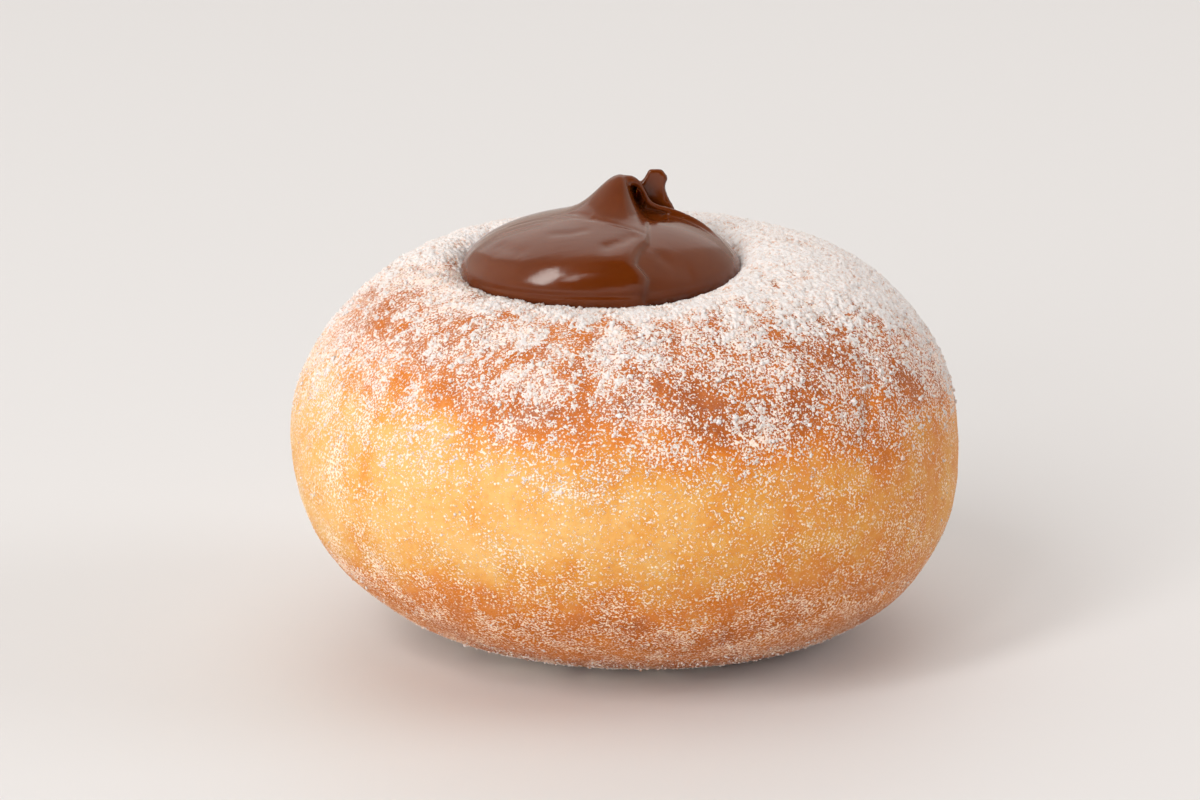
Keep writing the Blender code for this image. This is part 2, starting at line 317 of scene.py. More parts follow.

# %% [markdown]
# ## Lumps, folds and pores
#
# Dough swells unevenly, so a crust has slow lumps a centimetre or so long. Where it was pressed or
# pinched it keeps shallow folds, and frying leaves a skin with fine pores. Noise gives the lumps and the
# skin. The folds are drawn along given lines, because noise never makes a line that starts and ends
# somewhere.

# %% Relief of the crust
LUMP_HEIGHT = 0.40 * MM
LUMP_LENGTH = 13.0 * MM
SUGAR_BUMP_HEIGHT = 0.22 * MM
SUGAR_BUMP_LENGTH = 3.0 * MM
SUGAR_BANK_WIDTH = 11.0 * MM
RELIEF_STARTS_AT = 2.0 * MM
RELIEF_FULL_AT = 8.0 * MM
CRUST_END = 2.97  # the climb at which the crust stops, hidden under the cream
CRUST_STEPS = (0.62 * MM, 0.60 * MM)  # up the bun and round it
CLIMB_SAMPLES = 200
SKIN_WAVES = ((2.6 * MM, 0.07 * MM), (1.2 * MM, 0.03 * MM))  # (length, height)
FOLDS = (
    # depth and half width in mm, then the line as (turn in degrees, height in mm)
    (0.45, 1.1, ((-37.0, 41.0), (-37.5, 39.7), (-39.3, 37.9), (-42.5, 35.9), (-43.8, 33.6))),
    (0.30, 0.8, ((-141.2, 17.0), (-143.0, 13.2), (-142.5, 10.7), (-139.8, 8.3))),
    (0.26, 0.7, ((-138.9, 14.9), (-138.4, 12.3), (-136.6, 10.6), (-135.2, 8.3))),
    (0.40, 0.8, ((-49.5, 13.2), (-42.5, 12.9), (-34.2, 11.6), (-27.0, 11.5))),
    (0.30, 0.9, ((62.0, 15.0), (70.0, 12.5), (79.0, 11.8))),
    (0.35, 1.0, ((128.0, 38.5), (131.0, 35.5), (137.0, 33.0))),
)


def turn_of(places):
    return np.arctan2(places[..., 1], places[..., 0])


def noise_at(places, length, offset=0.0, kind=noise.noise):
    """Noise at every place, with waves about this long. The usual kind goes from about -1 to 1."""
    flat = (places.reshape(-1, 3) / length + offset).tolist()
    return np.array([kind(place) for place in flat]).reshape(places.shape[:-1])


def waves(places, terms):
    """A sum of noises at every place, each given as (weight, length in mm, offset)."""
    return sum(weight * noise_at(places, length * MM, offset) for weight, length, offset in terms)


def off_segment(x, y, along_x, along_y):
    """Distance from (x, y) to the segment that runs from (0, 0) to (along_x, along_y)."""
    share = np.clip((x * along_x + y * along_y) / (along_x**2 + along_y**2), 0, 1)
    return np.hypot(x - share * along_x, y - share * along_y)


def from_line(places, line):
    """Distance from every place to a line on the crust, given as (turn in degrees, height in mm)."""
    reach = np.hypot(places[..., 0], places[..., 1])
    turn = turn_of(places)
    nearest = np.full(turn.shape, np.inf)
    for (turn_a, height_a), (turn_b, height_b) in zip(line, line[1:]):
        across = (turn - np.radians(turn_a) + np.pi) % (2 * np.pi) - np.pi
        step, rise = np.radians(turn_b - turn_a) * reach, (height_b - height_a) * MM
        off = off_segment(across * reach, places[..., 2] - height_a * MM, step, rise)
        nearest = np.minimum(nearest, off)
    return nearest


def from_dimple(places):
    """Distance in plan from every place to the middle of the dimple."""
    return np.hypot(places[..., 0] - DIMPLE_CENTRE[0], places[..., 1] - DIMPLE_CENTRE[1])


def relief(places):
    """How far the crust stands out at each place: the solid's own lumps, then folds and skin."""
    lumps = LUMP_HEIGHT * noise_at(places, LUMP_LENGTH)
    bank = np.exp(-(((from_dimple(places) - CROWN_RADIUS) / SUGAR_BANK_WIDTH) ** 2))
    bank = np.where(places[..., 2] > EQUATOR_HEIGHT, bank, 0.0)
    height = lumps + bank * SUGAR_BUMP_HEIGHT * noise_at(places, SUGAR_BUMP_LENGTH)
    for depth, half_width, line in FOLDS:
        height -= depth * MM * np.exp(-((from_line(places, line) / (half_width * MM)) ** 2))
    for length, rise in SKIN_WAVES:
        height += rise * noise_at(places, length)
    return height * ease((places[..., 2] - RELIEF_STARTS_AT) / (RELIEF_FULL_AT - RELIEF_STARTS_AT))


def crust_strip(first, last, step_up, step_round):
    """A strip of the crust between two climbs, in steps about this long, as (places, normals)."""
    sectors = int(2 * np.pi * HALF_WIDTH / step_round)
    turn = np.linspace(0, 2 * np.pi, sectors, endpoint=False)
    climbs = np.linspace(first, last, CLIMB_SAMPLES)
    coarse = np.array([ring(climb, turn[:1])[0] for climb in climbs])
    lengths = np.concatenate(([0], np.cumsum(np.linalg.norm(np.diff(coarse, axis=0), axis=1))))
    even = np.interp(np.linspace(0, lengths[-1], int(lengths[-1] / step_up) + 2), lengths, climbs)
    smooth = np.array([ring(climb, turn) for climb in even])
    outward = normals_of(smooth)
    places = smooth + outward * relief(smooth)[..., None]
    return places, normals_of(places)


crust_places, crust_normals = crust_strip(0.0, CRUST_END, *CRUST_STEPS)
bun_low, bun_high = (np.array(corner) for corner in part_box("dough_bun"))
flat_places = crust_places.reshape(-1, 3)
to_centre = (bun_low + bun_high) / 2 - (flat_places.min(axis=0) + flat_places.max(axis=0)) / 2
to_centre[2] = 0.0
crust_places += to_centre
print("crust grid:", crust_places.shape, "moved to the solid's centre by", in_mm(to_centre), "mm")

# %% [markdown]
# ## Where the crust is brown and where the sugar lies
#
# Two numbers at every point of the crust say how it looks there: how browned it is, and how much sugar
# covers it. They could be painted by hand. Here they are worked out from the height and the turn, with
# some noise to break the edges, and are stored on the mesh as attributes that the material reads.
# The browning also holds painted shade: the crust is darker towards the foot's rim.

# %% Browning and sugar as numbers
BELT_TOP_AT = (
    # turn in degrees, and the height in mm where the brown of the top has faded half-way to the belt
    (-180, 39.5), (-160, 40.0), (-145, 39.0), (-130, 37.5), (-115, 36.0), (-100, 35.0), (-85, 34.0),
    (-70, 32.6), (-55, 31.8), (-40, 32.4), (-25, 33.0), (0, 34.0), (60, 35.0), (120, 38.0), (180, 39.5),
)
BELT_FOOT = (15.4, -0.8, -1.8)  # mm: its mean, and how it changes once and twice round the bun
BELT_TOP_EDGE = 11.0  # mm over which the belt turns brown
BELT_FOOT_EDGE = 14.0
TOP_BROWNING = 0.74
FOOT_BROWNING = 0.60
BELT_BROWNING = 0.07
BELT_GOLD = 0.24  # browning added to the belt, more of it towards the right
RIM_PAINTED_SHADE = 0.30  # painted shade, added to the browning: darker towards the foot's rim, where it meets the floor
RIM_HEIGHT = 7.5
# Noise as (weight, length in mm, offset): it makes edges wander, in mm, and makes shares uneven.
BELT_WANDER = ((2.4, 9.0, 3.0), (1.8, 3.5, 7.0))
BROWN_DRIFTS = ((0.10, 14.0, 19.0),)
BROWN_BLOTCHES = ((0.16, 5.0, 11.0), (0.10, 1.8, 13.0))
STREAK_BROWNING = 0.09
SUGAR_DRIFTS = ((1.6, 6.0, 21.0),)
SUGAR_UNEVEN = ((1.0, 4.0, 23.0), (0.7, 1.7, 27.0))
HAZE_DRIFTS = ((2.5, 7.0, 71.0),)
HAZE_UNEVEN = ((0.5, 2.2, 73.0),)
# Height in mm, and the share covered there, which holds in front.
SUGAR_BY_HEIGHT = (
    (33, 0.01), (35, 0.03), (37.5, 0.06), (39.2, 0.09), (40.8, 0.13), (43, 0.16), (44.5, 0.17),
    (45.5, 0.21), (46.2, 0.28), (47.3, 0.47), (48.5, 0.68), (49.8, 0.84), (52, 0.92),
)
DUST_BY_HEIGHT = (
    (0, 0.35), (4, 0.33), (8, 0.32), (12, 0.30), (16, 0.27), (20, 0.23), (24, 0.18), (28, 0.19),
    (32, 0.25), (34, 0.30), (36, 0.33), (38, 0.36), (41, 0.40), (45, 0.43), (46.5, 0.52), (48, 0.70),
    (49.5, 0.85), (52, 0.92),
)
SUGAR_REACH = (
    # turn in degrees, and how many mm further down the sugar lies there than in front
    (-180, 0.5), (-170, -2.6), (-160, -3.8), (-145, -2.6), (-130, -0.8), (-115, 0.2), (-70, 0.4),
    (-55, 0.4), (-40, 1.8), (-25, 2.2), (-10, 6.0), (20, 7.0), (60, 3.0), (120, 1.5), (180, 0.5),
)
NO_REACH = ((-180, 0.0), (180, 0.0))
SUGAR_PATCHINESS = 0.45
DUST_PATCHINESS = 0.80
HAZE = (
    # turn in degrees, and the share of dust that the upper half has there on top of the other dust
    (-180, 0.38), (-160, 0.16), (-148, 0.06), (-138, 0.03), (-125, 0.0), (-70, 0.0), (-55, 0.02),
    (-40, 0.04), (-25, 0.06), (-15, 0.36), (-8, 0.58), (20, 0.55), (60, 0.25), (120, 0.22), (180, 0.38),
)
HAZE_STARTS_AT = (28.0, 37.0)  # mm: no haze below the first height, and all of it above the second
LOW_LEFT_DUST = 0.60  # more dust on the lower left, as a share of what lies there
LOW_RIGHT_DUST = 0.15  # and on the lower right
SPOTS = (
    # turn in degrees, height and radius in mm, and the share of cover added, or taken off if negative
    (-28.3, 37.9, 2.2, -0.9), (-28.8, 36.0, 1.6, -0.7), (-76.7, 40.1, 1.6, -0.6),
    (-72.6, 38.8, 1.4, -0.5), (-84.0, 41.6, 1.5, -0.6), (-97.8, 41.5, 1.6, -0.6),
    (-126.5, 39.6, 1.8, -0.6), (-136.6, 39.3, 2.0, -0.5), (-94.0, 44.8, 1.8, 0.35),
    (-84.5, 44.0, 1.6, 0.25), (-101.0, 30.4, 1.2, 0.20), (-96.0, 29.8, 1.2, 0.20),
    (-158.0, 45.2, 3.5, -0.6), (-172.0, 43.5, 3.5, -0.45), (-116.0, 43.8, 1.6, -0.45),
    (-101.0, 42.8, 2.4, -0.35), (-55.0, 46.0, 1.6, -0.35), (-42.0, 44.3, 2.0, -0.35),
    (-115.0, 46.6, 1.6, 0.30), (-85.0, 47.2, 1.2, 0.30), (-161.0, 37.0, 3.0, 0.20),
    (-147.0, 28.5, 2.6, 0.15), (-101.0, 37.2, 1.8, 0.12), (-65.0, 36.0, 2.6, 0.14),
    (-25.0, 39.3, 1.3, 0.20), (-70.0, 45.8, 1.4, -0.35), (-85.0, 45.6, 1.2, -0.25),
    (-100.0, 45.4, 1.2, -0.25),
)


def by_turn(turn, table):
    """A value that is given for a few turns in degrees, and changes evenly between them."""
    turns, values = zip(*table)
    return np.interp(np.degrees(turn), turns, values)


def browning(places):
    """0 in the pale belt and 1 where the crust lay in the oil, with soft blotches and streaks, more brown
    towards the belt's right, and painted shade towards the foot's rim.
    """
    turn, height = turn_of(places), places[..., 2] / MM
    wander = waves(places, BELT_WANDER)
    top = ease((height + wander - by_turn(turn, BELT_TOP_AT)) / BELT_TOP_EDGE + 0.5)
    foot = ease((round_the_bun(BELT_FOOT, turn) - height + wander) / BELT_FOOT_EDGE + 0.5)
    fried = np.maximum(TOP_BROWNING * top, FOOT_BROWNING * foot)
    gold = BELT_GOLD * ease(np.cos(turn) + 0.35) * (1 - fried)
    # Painted shade: the crust darkens towards the foot's rim, where it meets the floor.
    painted_rim_shade = RIM_PAINTED_SHADE * (1 - ease(height / RIM_HEIGHT))
    streaks = noise_at(places * (1.0, 1.0, 0.3), 2.2 * MM, 17.0)
    blotches = waves(places, BROWN_BLOTCHES) + STREAK_BROWNING * streaks
    return np.clip(fried + gold + painted_rim_shade + BELT_BROWNING + waves(places, BROWN_DRIFTS) + blotches, 0, 1)


def share_by_height(places, table, reach, patchiness):
    """A share that follows a table of heights, reaches down by turn and is uneven from place to place."""
    turn, height = turn_of(places), places[..., 2] / MM
    height = np.where(from_dimple(places) < CROWN_RADIUS, crown_height(turn) / MM, height)
    drifts = waves(places, SUGAR_DRIFTS) * ease((height - 24) / 8)
    lean = by_turn(turn, reach) * ease((height - 22) / 8)
    heights, shares = zip(*table)
    share = np.interp(height + lean + drifts, heights, shares)
    share = share * (1 + patchiness * waves(places, SUGAR_UNEVEN))
    for spot_turn, spot_height, radius, more in SPOTS:
        off = from_line(places, ((spot_turn, spot_height), (spot_turn + 0.1, spot_height)))
        near = np.exp(-((off / (radius * MM)) ** 2))
        share = share + near * (more if more > 0 else more * share)
    return np.clip(share, 0, 1)


def sugar_share(places):
    """The share of the crust that sugar covers, from 0 to 1."""
    return share_by_height(places, SUGAR_BY_HEIGHT, SUGAR_REACH, SUGAR_PATCHINESS)


def dust_share(places):
    """The share that the finest dust covers, where the sugar has left the crust bare."""
    turn, height = turn_of(places), places[..., 2] / MM
    starts, full = HAZE_STARTS_AT
    haze = by_turn(turn, HAZE) * ease((height + waves(places, HAZE_DRIFTS) - starts) / (full - starts))
    haze = haze * (1 + waves(places, HAZE_UNEVEN))
    low_left = LOW_LEFT_DUST * np.clip(-np.cos(turn), 0, 1) ** 3 * ease((34 - height) / 8)
    low_right = LOW_RIGHT_DUST * ease((np.degrees(turn) + 90) / 30) * ease((31 - height) / 6)
    low_right = low_right * ease((height - 6) / 6)
    dust = share_by_height(places, DUST_BY_HEIGHT, NO_REACH, DUST_PATCHINESS)
    return np.clip(1 - (1 - dust * (1 + low_left + low_right)) * (1 - haze), 0, 1)


crust_browning = browning(crust_places)
crust_sugar = sugar_share(crust_places)
crust_dust = dust_share(crust_places)
print("mean browning", round(crust_browning.mean(), 2), "and mean sugar", round(crust_sugar.mean(), 2))

# %% [markdown]
# ## Fried dough
#
# The surface is enriched dough fried in oil: a thin matt skin, a little greasy, over soft crumb that
# lets light in, which warms its shadows. Its colour runs from pale straw in the belt through gold to
# chestnut brown. A painted image would be bound to one layout, so a ramp and noise follow the two numbers
# instead. The finest dust is too small for geometry, so the material draws it too: as crisp flecks, as a
# thin film and as single grains, as much of each as the number asks for.

# %% Material of the crust
def per_mm(size):
    """The scale of a texture whose features are this many millimetres apart."""
    return 1 / (size * MM)


CRUST_COLOURS = ((0.0, "E2B066"), (0.25, "DA973E"), (0.55, "CF761C"), (0.8, "BA6212"), (1.0, "9C4C0F"))
fried_dough = bpy.data.materials.new("fried_yeast_dough")
add = empty_tree(fried_dough)
place = add("TexCoord").outputs["Object"]
brown = add("Attribute", attribute_name="browning").outputs["Fac"]
dustiness = add("Attribute", attribute_name="dust").outputs["Fac"]

# Mottling 0.9 mm across: the skin browns unevenly round each pore.
mottle = add("TexNoise", {"Vector": place, "Scale": per_mm(0.9), "Detail": 3.0})
mottled = add("MapRange", {0: mottle, 1: 0.3, 2: 0.7, 3: -0.09, 4: 0.09})
browned = add("Math", {0: brown, 1: mottled}, operation="ADD")
ramp = add("ValToRGB", {"Fac": browned})
stops = ramp.color_ramp.elements
for i, (position, colour) in enumerate(CRUST_COLOURS):
    stop = stops[i] if i < 2 else stops.new(position)
    stop.position = position
    stop.color = linear(colour)

# Powder in crisp flecks 0.29 mm across, coarser than the real grains so that they show. Noise passes a
# narrow threshold sooner where the dust's share is higher.
POWDER_PULL = 0.285
POWDER_EDGE = (0.638, 0.662)
POWDER_COVER = 0.92
drift = add("TexNoise", {"Vector": place, "Scale": per_mm(0.29), "Detail": 4.0, "Roughness": 0.60})
reached = add("Math", {0: dustiness, 1: POWDER_PULL, 2: drift}, operation="MULTIPLY_ADD")
powder = add("MapRange", {0: reached, 1: POWDER_EDGE[0], 2: POWDER_EDGE[1], 4: POWDER_COVER})

# A film in flecks 0.18 mm across: flour where the sugar never fell, and between the clumps of the upper
# half the finest sugar, which pales the crust. It thins out to the right, where less was sifted.
VEIL_COVER = 0.36
FILM_THINNEST = 0.35  # of its thickness, between its flecks
axes = add("SeparateXYZ", {0: place}).outputs
upwards = add("MapRange", {0: axes["Z"], 1: 22 * MM, 2: 40 * MM})
leftwards = add("MapRange", {0: axes["X"], 1: 12 * MM, 2: -8 * MM, 3: 0.3, 4: 1.0})
veil_limit = add("Math", {0: upwards, 1: leftwards}, operation="MULTIPLY")
veil_limit = add("Math", {0: veil_limit, 1: VEIL_COVER}, operation="MULTIPLY")
veil = add("MapRange", {0: dustiness, 1: 0.22, 2: 0.55, 4: veil_limit})
flour = add("MapRange", {0: dustiness, 1: 0.12, 2: 0.34, 3: 0.09, 4: 0.0})
thickness = add("Math", {0: flour, 1: veil}, operation="ADD")
thinnest = add("Math", {0: thickness, 1: FILM_THINNEST}, operation="MULTIPLY")
flecks = add("TexNoise", {"Vector": place, "Scale": per_mm(0.18), "Detail": 2.0})
film = add("MapRange", {0: flecks, 1: 0.45, 2: 0.68, 3: thinnest, 4: thickness})

# Single grains, in cells 0.22 and 0.38 mm apart. A cell of the pattern holds a grain if its random number
# is below its part of the dust's share.
dust = add("Math", {0: powder, 1: film}, operation="MAXIMUM")
for spacing, part in ((0.22, 0.35), (0.38, 0.30)):
    cells = add("TexVoronoi", {"Vector": place, "Scale": per_mm(spacing)}).outputs
    lot = add("SeparateXYZ", {0: cells["Color"]})
    wanted = add("Math", {0: dustiness, 1: part}, operation="MULTIPLY")
    chosen = add("Math", {0: lot, 1: wanted}, operation="LESS_THAN")
    near = add("MapRange", {0: cells["Distance"], 1: 0.60, 2: 0.25})
    grains = add("Math", {0: chosen, 1: near}, operation="MULTIPLY")
    dust = add("Math", {0: dust, 1: grains}, operation="MAXIMUM")

# The powder is peach-coloured low down and whiter higher up.
white = add("Mix", {0: upwards, 6: "FFE9D2", 7: "F2E6DF"}, data_type="RGBA")
colour = add("Mix", {0: dust, 6: ramp.outputs["Color"], 7: white}, data_type="RGBA")
roughness = add("MapRange", {0: dust, 3: 0.50, 4: 0.95})
pores = add("TexNoise", {"Vector": place, "Scale": per_mm(0.35), "Detail": 4.0})
skin = add("Bump", {"Height": pores, "Distance": 0.05 * MM, "Strength": 0.6})
raised = add("Bump", {"Height": dust, "Normal": skin, "Distance": 0.10 * MM, "Strength": 0.9})
shader = add("BsdfPrincipled", {
    "Base Color": colour, "Roughness": roughness, "Normal": raised, "IOR": 1.45, "Specular IOR Level": 0.15,
    "Subsurface Weight": 0.15, "Subsurface Radius": (1.0, 0.45, 0.18), "Subsurface Scale": 1.2 * MM,
})
add("OutputMaterial", {"Surface": shader})
print("crust material:", len(fried_dough.node_tree.nodes), "nodes")

# %% [markdown]
# ## The crust as a mesh
#
# A grid becomes a mesh by joining each place to its neighbours with quads. The last column joins the
# first again, and the two ends are closed by one flat face under the foot and one under the cream.

# %% Make the crust
def grid_faces(rows, columns):
    """Quads between neighbouring places of a grid whose columns close into a ring."""
    corner = np.arange(rows * columns).reshape(rows, columns)
    right = np.roll(corner, -1, axis=1)
    return np.stack((corner[:-1], right[:-1], right[1:], corner[1:]), axis=-1).reshape(-1, 4)


def make_mesh(name, places, faces, material):
    mesh = bpy.data.meshes.new(name)
    mesh.from_pydata(places.reshape(-1, 3).tolist(), [], faces)
    mesh.materials.append(material)
    mesh.shade_smooth()
    return mesh


def store(mesh, name, values):
    """Keeps one number for each vertex under a name that a material can read."""
    layer = mesh.attributes.new(name, "FLOAT", "POINT")
    layer.data.foreach_set("value", values.ravel().astype(np.float32))


rows, columns = crust_places.shape[:2]
faces = grid_faces(rows, columns).tolist()
faces.append(list(range(columns))[::-1])
faces.append(list(range((rows - 1) * columns, rows * columns)))
crust_mesh = make_mesh("bun_crust", crust_places, faces, fried_dough)
store(crust_mesh, "browning", crust_browning)
store(crust_mesh, "dust", crust_dust)
bun_crust = place_object("bun_crust", crust_mesh)
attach(bun_crust, "root")
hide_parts("dough_bun")
print("crust:", len(crust_mesh.polygons), "faces")

# %% [markdown]
# ## Icing sugar
#
# Icing sugar is sugar milled to a powder. It is pure white and quite matt, and the light that scatters
# between its grains fills their shadows. One plain white would look like plaster, so two noises give it a
# grain and let the crust show through where it is thin. A number on each mesh says how thin it is.

# %% Material of the sugar
CRUST_THROUGH = "C48A62"
icing_sugar = bpy.data.materials.new("milled_icing_sugar")
add = empty_tree(icing_sugar)
place = add("TexCoord").outputs["Object"]
thinness = add("Attribute", attribute_name="thinness").outputs["Fac"]

# Grain 0.12 mm across, which is coarser than the real powder so that it shows.
grain = add("TexNoise", {"Vector": place, "Scale": per_mm(0.12), "Detail": 2.0})
tint = add("Mix", {0: grain, 6: "D3CFCF", 7: "F0EDEE"}, data_type="RGBA")

# Gaps between clots 0.5 mm across, where the crust shows through: fewer where the sugar is thick.
clots = add("TexNoise", {"Vector": place, "Scale": per_mm(0.50), "Detail": 4.0, "Roughness": 0.65})
gaps = add("MapRange", {0: clots, 1: 0.460, 2: 0.430, 3: 0.0, 4: 0.85})
uncovered = add("MapRange", {0: thinness, 3: 0.35, 4: 1.0})
gaps = add("Math", {0: gaps, 1: uncovered}, operation="MULTIPLY")
tint = add("Mix", {0: gaps, 6: tint, 7: CRUST_THROUGH}, data_type="RGBA")

# Thin edges and lone grains are tinted warm: partly the crust seen through thin sugar, and partly painted
# warm light bounced from the crust.
painted_bounce_share = add("Math", {0: thinness, 1: 0.35}, operation="MULTIPLY")
painted_bounce_tint = add("Mix", {0: painted_bounce_share, 6: "FFFFFF", 7: "FFE8D6"}, data_type="RGBA")
tint = add("Mix", {0: 1.0, 6: tint, 7: painted_bounce_tint}, data_type="RGBA", blend_type="MULTIPLY")
clotted = add("Bump", {"Height": clots, "Distance": 0.08 * MM, "Strength": 0.8})
grained = add("Bump", {"Height": grain, "Normal": clotted, "Distance": 0.05 * MM, "Strength": 0.8})
shader = add("BsdfPrincipled", {
    "Base Color": tint, "Roughness": 0.95, "Normal": grained, "IOR": 1.5, "Subsurface Weight": 0.35,
    "Subsurface Radius": (1.0, 0.9, 0.8), "Subsurface Scale": 0.25 * MM,
})
add("OutputMaterial", {"Surface": shader})
print("sugar material:", len(icing_sugar.node_tree.nodes), "nodes")

# %% [markdown]
# ## The bank and the patches of sugar
#
# Sugar that falls on sugar sticks together, so it lies in lumpy sheets: almost closed round the cream,
# and in torn patches on the shoulder. Thousands of single blobs could be heaped up, but one sheet needs
# far fewer faces. Each is a strip of the crust made again with finer steps, pushed outwards by rounded
# lumps. Noise of five sizes ranks its places, and where the rank is too low for the wanted share there is
# no sugar and no face. The sheet's edge dips just below the crust, so it never floats.

# %% Make the sheets of sugar
CLUMP_WAVES = (
    # weight, length in mm, offset
    (0.30, 3.0, 34.0), (0.42, 1.5, 32.5), (0.50, 0.75, 31.75), (0.45, 0.42, 31.42), (0.30, 0.25, 31.25),
)
LUMP_SIZE = 0.80 * MM
SMALL_LUMP_SIZE = 0.42 * MM
SUNK = 0.05 * MM
GRAIN_HEIGHT = 0.045 * MM
GRAIN_TEAR = 0.07
STREAK_WEIGHT = 0.8
THIN_UNTIL = 0.22  # share of the cover beyond its edge at which the sugar hides the crust


def round_lumps(places, size, offset):
    """Rounded bumps from 0 to 1, about this far apart, with creases between them."""
    nearest = noise_at(places, size, offset, lambda place: noise.voronoi(place)[0][0])
    return np.sqrt(np.clip(1 - (nearest / 0.8) ** 2, 0, 1))


def shoulder_streaks(places):
    """Streaks that climb to the right, on the front left, where the sugar slid as it fell."""
    turn = turn_of(places)
    along, up = turn * HALF_WIDTH, places[..., 2]
    slanted = np.stack((0.8 * along + 0.6 * up, 2.6 * (0.8 * up - 0.6 * along), 0 * turn), axis=-1)
    on_the_left = ease((np.degrees(turn) + 172) / 20) * ease((-75 - np.degrees(turn)) / 30)
    return on_the_left * noise_at(slanted, 2.6 * MM, 51.0)


def sugar_piece(name, places, faces, thinness):
    mesh = make_mesh(name, places, faces.tolist(), icing_sugar)
    store(mesh, "thinness", thinness)
    piece = place_object(name, mesh)
    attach(piece, "root")
    print(f"{name}: {len(faces)} faces")


def sugar_sheet(name, first, last, step, thickness):
    places, outward = crust_strip(first, last, step, step)
    places += to_centre
    lumps = round_lumps(places, LUMP_SIZE, 41.0)
    small_lumps = round_lumps(places, SMALL_LUMP_SIZE, 43.0)
    grains = np.random.default_rng(5).normal(size=lumps.shape)
    heap = waves(places, CLUMP_WAVES) + 0.5 * lumps + 0.35 * small_lumps
    heap += STREAK_WEIGHT * shoulder_streaks(places)
    rank = 1 / (1 + np.exp(-1.7 * (heap - heap.mean()) / heap.std()))
    over = rank - (1 - sugar_share(places)) + GRAIN_TEAR * grains
    covered = over > 0
    # Shares of the thickness: a slab with a rounded edge, and lumps that grow towards its middle.
    slab = 0.3 * np.sqrt(np.clip(over / 0.2, 0, 1))
    heaped = np.clip(over, 0, 1) * (0.08 * lumps + 0.42 * small_lumps)
    height = thickness * (slab + heaped)
    height += 0.08 * thickness * lumps * np.clip(over / 0.3, 0, 1) + GRAIN_HEIGHT * grains
    places = places + outward * np.where(covered, height, -SUNK)[..., None]
    quads = grid_faces(*places.shape[:2])
    quads = quads[covered.ravel()[quads].any(axis=1)]
    used, renumbered = np.unique(quads, return_inverse=True)
    thinness = 1 - np.clip(over / THIN_UNTIL, 0, 1)
    sugar_piece(name, places.reshape(-1, 3)[used], renumbered.reshape(-1, 4), thinness.ravel()[used])
    print(f"it covers {covered.mean():.0%} of its strip")


# first and last climb, step and thickness
sugar_sheet("sugar_bank", 1.70, 2.25, 0.220 * MM, 0.48 * MM)
sugar_sheet("sugar_patches", 1.14, 1.72, 0.165 * MM, 0.40 * MM)

# %% [markdown]
# ## The cream
#
# The dollop is hazelnut and cocoa cream, squeezed out of a nozzle that was then pulled away. Its body
# is a flattened dome with a lobe in front, the tip is drawn out into a tail that falls over to the right,
# and a flap stands behind it. Sculpting would do, but a dome, a tube and a sheet that are melted together
# by a voxel remesh and then smoothed flow into each other just as the cream does.

# %% Shape of the dollop
CREAM_CENTRE = Vector((-2.9 * MM, -2.0 * MM, 47.8 * MM))
CREAM_HALF_WIDTH = 17.6 * MM
CREAM_HALF_DEPTH = 16.2 * MM
CREAM_OUTLINE_WAVES = ((0.04, -142, 30), (-0.07, -50, 28))  # (share wider, turn and spread in degrees)
CREAM_DOME_HEIGHT = 7.7 * MM
CREAM_ROOT_DEPTH = 4.0 * MM
PEAK_FOOT = Vector((-0.4 * MM, -1.2 * MM, 0.0))
PEAK_HEIGHT = 4.6 * MM
PEAK_SPREAD_LEFT = 2.9 * MM
PEAK_SPREAD_RIGHT = 1.05 * MM
PEAK_SPREAD_DEEP = 2.7 * MM
FOLD_LINE = (
    # y and x in mm, and how strongly the lobe stands out there
    (-18.6, -1.5, 0.0), (-17.9, 0.4, 0.15), (-17.3, 1.6, 0.6), (-16.8, 2.3, 1.0), (-16.1, 2.6, 1.0),
    (-15.5, 0.9, 1.0), (-14.8, 1.1, 0.9), (-13.0, 1.8, 0.8), (-11.2, 2.7, 0.7), (-7.5, 2.9, 0.45),
    (-1.5, 2.4, 0.1),
)
FOLD_HEIGHT = 0.9 * MM
FOLD_ROUNDING = 1.5 * MM
FOLD_REACH = 5.0 * MM
TAIL = (
    # x, y, z and radius in mm, from inside the peak to the drip's end
    (-1.0, -1.2, 58.8, 0.95), (0.3, -1.1, 59.35, 0.80), (1.45, -0.9, 59.0, 0.50), (2.15, -0.7, 57.8, 0.45),
    (2.75, -0.3, 56.4, 0.42), (3.8, 0.0, 55.6, 0.40), (6.2, 0.3, 55.0, 0.38), (9.2, -0.2, 53.75, 0.36),
    (11.3, -2.0, 52.4, 0.34), (13.4, -4.2, 50.1, 0.30),
)
HOLLOW_CENTRE = Vector((3.8 * MM, -1.9 * MM, 0.0))
HOLLOW_DEPTH = 0.8 * MM
HOLLOW_SPREAD = 1.05 * MM
FLAP_EDGES = (
    # height, left edge and right edge, in mm
    (53.4, -0.4, 6.8), (55.0, -0.2, 6.2), (56.5, 0.3, 5.35), (57.6, 1.0, 5.0), (58.3, 2.0, 5.15),
    (58.8, 2.4, 5.45), (59.3, 2.7, 5.15), (60.0, 3.0, 4.6),
)
FLAP_BACK = Vector((3.5 * MM, 2.4 * MM, 0.0))
FLAP_CURVE = 0.10 / MM
FLAP_THICKNESS = 0.9 * MM
FLAP_STEPS = 20
SLIT_BACK_CENTRE = Vector((1.1 * MM, 2.4 * MM, 57.0 * MM))
SLIT_BACK_RADII = Vector((1.3 * MM, 1.5 * MM, 1.7 * MM))


def peak_lift(place):
    """How far the dome is drawn up at a place, into the soft peak, or down into the hollow beside it."""
    across, deep = (place - PEAK_FOOT).xy
    spread = PEAK_SPREAD_LEFT if across < 0 else PEAK_SPREAD_RIGHT
    peak = PEAK_HEIGHT * math.exp(-0.5 * ((across / spread) ** 2 + (deep / PEAK_SPREAD_DEEP) ** 2))
    off = (place - HOLLOW_CENTRE).xy.length / HOLLOW_SPREAD
    return peak - HOLLOW_DEPTH * math.exp(-0.5 * off * off)


